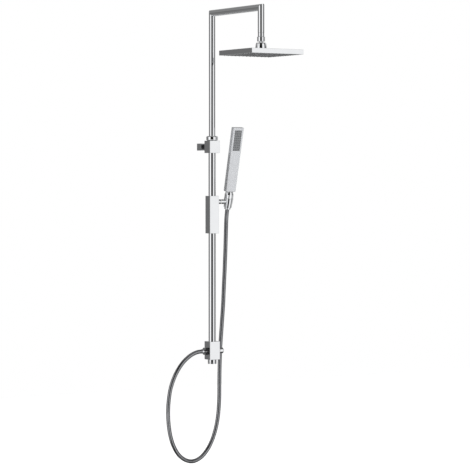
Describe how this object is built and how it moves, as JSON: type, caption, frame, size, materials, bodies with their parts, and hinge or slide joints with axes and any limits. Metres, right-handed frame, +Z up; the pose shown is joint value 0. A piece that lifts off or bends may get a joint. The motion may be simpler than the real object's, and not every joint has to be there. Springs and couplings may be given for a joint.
{
  "type": "rainfall shower column",
  "caption": "Wall-hung chrome shower column: square overhead rose on a mitred telescopic riser, sliding hand shower with metal hose, and a diverter block below.",
  "frame": {"origin": "mouth of the wall bolt's thread in the neck, at the wall face, level with the wall bracket", "axes": "+Z up, +Y into the wall, -Y into the room, +X to the right of someone facing the wall; the hose outlet is on the -X side and the hand shower on the +X side"},
  "size_m": [0.28, 0.485, 1.545],
  "materials": {
    "chrome": "polished chrome plating",
    "hose_steel": "polished double-lock metal spiral",
    "handset_silver": "chrome plated plastic, slightly softer than the brass parts",
    "face_grey": "satin grey plate",
    "silicone": "soft grey silicone",
    "black_rubber": "matt rubber",
    "acetal": "plain moulded acetal",
    "raw_brass": "machined, unplated",
    "steel_screw": "stainless screw",
    "valve_blue": "moulded valve insert",
    "limiter_green": "moulded flow disc"
  },
  "bodies": {
    "column": {"wall_sleeve": "chrome", "sleeve_grub_screw": "steel_screw", "wall_neck": "chrome", "wall_bracket": "chrome", "lower_riser": "chrome", "collet_ring": "acetal", "hose": "hose_steel", "bottom_ferrule": "chrome", "outlet_nut": "chrome", "outlet_washer": "black_rubber", "outlet_nipple": "chrome", "diverter_block": "chrome", "diverter_cartridge": "acetal", "cartridge_o_ring": "black_rubber", "inlet_tailpiece": "raw_brass", "inlet_washer": "black_rubber"},
    "collar": {"locking_collar": "chrome"},
    "guide": {"guide_bush": "acetal", "guide_o_rings": "black_rubber"},
    "overhead": {"upper_riser": "chrome", "overhead_arm": "chrome", "drop_tube": "chrome", "drop_nipple": "raw_brass", "drop_ferrule": "chrome", "ball_stud": "chrome", "flow_limiter": "limiter_green"},
    "swivel": {"ball_ring": "acetal"},
    "rose": {"ball_socket": "raw_brass", "ball_bell": "chrome", "socket_nut": "raw_brass", "rose_cover": "chrome", "rose_face": "face_grey", "rose_nozzles": "silicone", "rose_screws": "steel_screw"},
    "slider": {"slider_body": "chrome", "slider_liners": "acetal", "brake_pad": "acetal", "brake_plug": "black_rubber", "holder_pin": "chrome", "friction_washer": "acetal", "holder_screw": "steel_screw", "hose_bend": "hose_steel"},
    "holder": {"holder_cup": "chrome", "hose_end": "hose_steel"},
    "hose_fitting": {"cone_nut": "chrome", "top_washer": "black_rubber", "top_ferrule": "chrome"},
    "handset": {"handset_body": "handset_silver", "handset_tail": "raw_brass", "check_valve": "valve_blue", "spray_plate": "face_grey", "spray_nozzles": "silicone"},
    "diverter": {"diverter_spindle": "raw_brass", "diverter_knob": "chrome", "knob_grub_screw": "steel_screw"},
    "inlet": {"inlet_nut": "chrome"}
  },
  "joints": [
    {"name": "riser_extend", "type": "slide", "parent": "column", "child": "guide", "axis": [0, 0, 1], "range_m": [-0.15, 0.1]},
    {"name": "arm_swivel", "type": "hinge", "parent": "guide", "child": "overhead", "pos_m": [0, -0.08, 0], "axis": [0, 0, 1], "range_deg": [-75, 75]},
    {"name": "collar_turn", "type": "hinge", "parent": "column", "child": "collar", "pos_m": [0, -0.08, 0.029], "axis": [0, 0, 1], "range_deg": [0, 180]},
    {"name": "rose_swivel", "type": "hinge", "parent": "overhead", "child": "swivel", "pos_m": [0, -0.385, 0.328], "axis": [0, 0, 1], "range_deg": [-90, 90]},
    {"name": "rose_tilt", "type": "hinge", "parent": "swivel", "child": "rose", "pos_m": [0, -0.385, 0.328], "axis": [1, 0, 0], "range_deg": [-12, 12]},
    {"name": "slider_travel", "type": "slide", "parent": "column", "child": "slider", "axis": [0, 0, 1], "range_m": [-0.34, 0.12], "deforming": ["hose"]},
    {"name": "holder_tilt", "type": "hinge", "parent": "slider", "child": "holder", "pos_m": [0.065, -0.08, -0.187], "axis": [1, 0, 0], "range_deg": [-25, 20], "deforming": ["hose_bend"]},
    {"name": "handset_lift", "type": "slide", "parent": "holder", "child": "hose_fitting", "axis": [0, -0.225, 0.9744], "range_m": [0, 0.06], "deforming": ["hose_end"]},
    {"name": "handset_turn", "type": "hinge", "parent": "hose_fitting", "child": "handset", "pos_m": [0.065, -0.08, -0.187], "axis": [0, -0.225, 0.9744], "range_deg": [-180, 180]},
    {"name": "diverter_turn", "type": "hinge", "parent": "column", "child": "diverter", "pos_m": [0.03, -0.08, -0.697], "axis": [1, 0, 0], "range_deg": [-90, 90]},
    {"name": "inlet_nut_spin", "type": "hinge", "parent": "column", "child": "inlet", "pos_m": [0, -0.08, -0.734], "axis": [0, 0, 1], "continuous": true}
  ]
}
